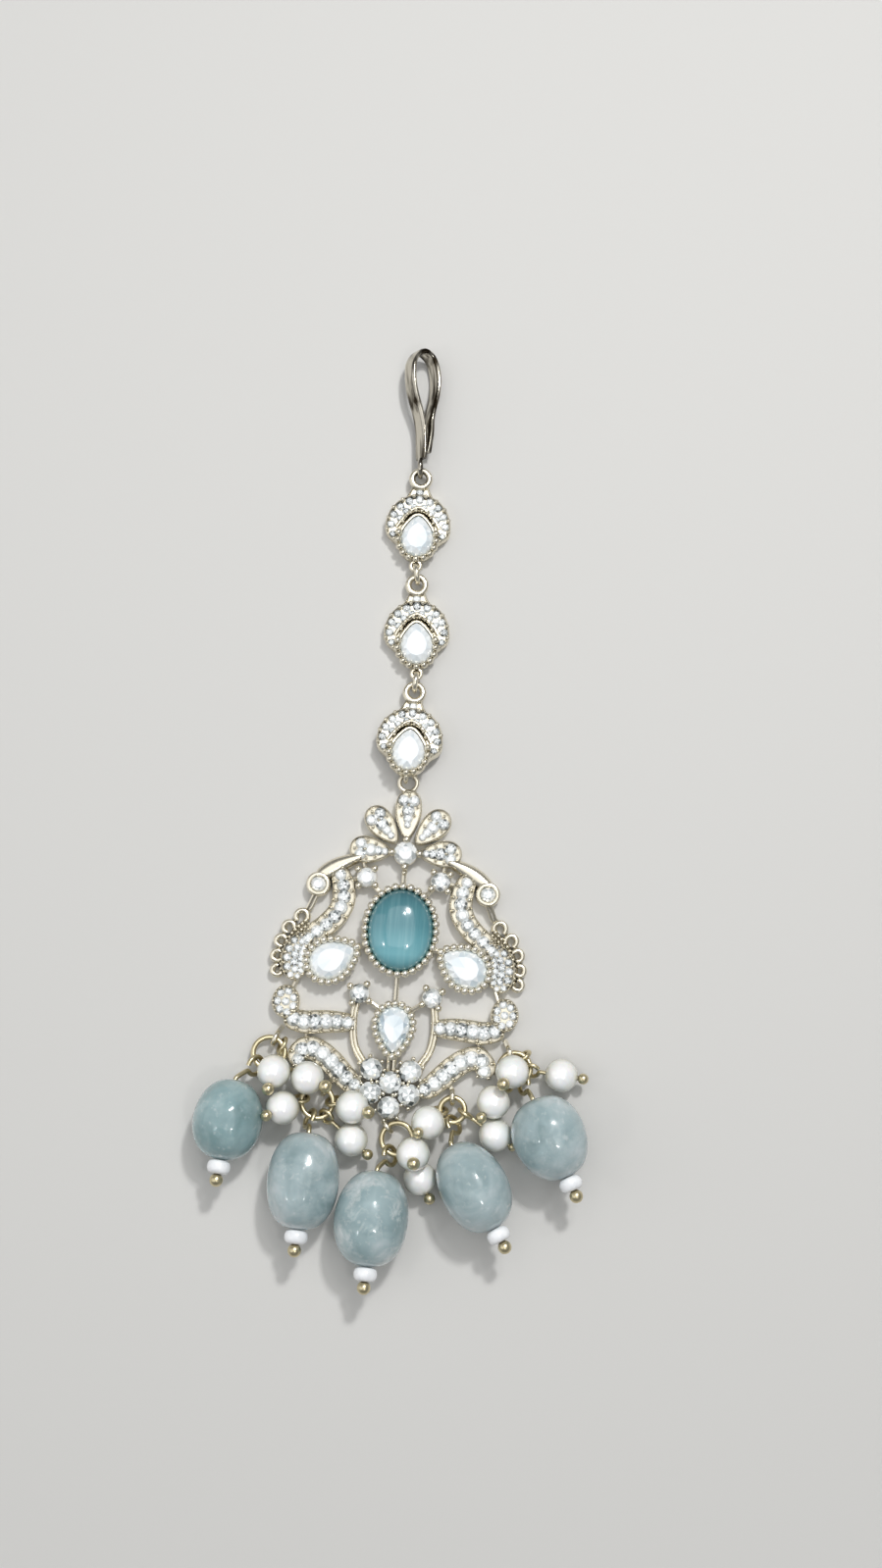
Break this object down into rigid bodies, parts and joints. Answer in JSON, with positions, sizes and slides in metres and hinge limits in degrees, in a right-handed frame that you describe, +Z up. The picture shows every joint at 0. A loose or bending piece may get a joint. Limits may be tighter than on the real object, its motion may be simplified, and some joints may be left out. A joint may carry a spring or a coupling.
{
  "type": "maang tikka",
  "caption": "Maang tikka: a hair hook, jewelled links, a pierced peacock plaque with a teal cat's-eye stone, and clusters of stone and pearl drops, lying flat.",
  "frame": {"origin": "middle of the foot of the bounding box, on the surface the jewel lies on", "axes": "+Y from the drops towards the hair hook, +Z up out of the jewel's front"},
  "size_m": [0.0468, 0.1162, 0.0092],
  "materials": {
    "pale_gilt": "pale antique gilt, polished on the raised work",
    "antique_gilt": "darker antique gilt wire",
    "clear_stone": "cut clear stone",
    "teal_cats_eye": "polished teal cat's eye",
    "aqua_stone": "tumbled cloudy grey-aqua stone",
    "pearl": "cream pearl lustre"
  },
  "bodies": {
    "root": {"hook": "pale_gilt", "link_1": "pale_gilt", "link_stone_1": "clear_stone", "link_2": "pale_gilt", "link_stone_2": "clear_stone", "link_3": "pale_gilt", "link_stone_3": "clear_stone", "chain_ring_1": "pale_gilt", "chain_ring_2": "pale_gilt", "plaque": "pale_gilt", "cats_eye": "teal_cats_eye", "pear_right": "clear_stone", "pear_left": "clear_stone", "pear_centre": "clear_stone", "drop_ring_1": "antique_gilt", "drop_ring_2": "antique_gilt", "drop_ring_3": "antique_gilt", "drop_ring_4": "antique_gilt", "drop_ring_5": "antique_gilt", "bead_1": "aqua_stone", "bead_pin_1": "antique_gilt", "bead_2": "aqua_stone", "bead_pin_2": "antique_gilt", "bead_3": "aqua_stone", "bead_pin_3": "antique_gilt", "bead_4": "aqua_stone", "bead_pin_4": "antique_gilt", "bead_5": "aqua_stone", "bead_pin_5": "antique_gilt", "pearl_1": "pearl", "pearl_pin_1": "antique_gilt", "pearl_2": "pearl", "pearl_pin_2": "antique_gilt", "pearl_3": "pearl", "pearl_pin_3": "antique_gilt", "pearl_4": "pearl", "pearl_pin_4": "antique_gilt", "pearl_5": "pearl", "pearl_pin_5": "antique_gilt", "pearl_6": "pearl", "pearl_pin_6": "antique_gilt", "pearl_7": "pearl", "pearl_pin_7": "antique_gilt", "pearl_8": "pearl", "pearl_pin_8": "antique_gilt", "pearl_9": "pearl", "pearl_pin_9": "antique_gilt", "pearl_10": "pearl", "pearl_pin_10": "antique_gilt", "pearl_11": "pearl", "pearl_pin_11": "antique_gilt", "pearl_12": "pearl", "pearl_pin_12": "antique_gilt"}
  },
  "joints": []
}
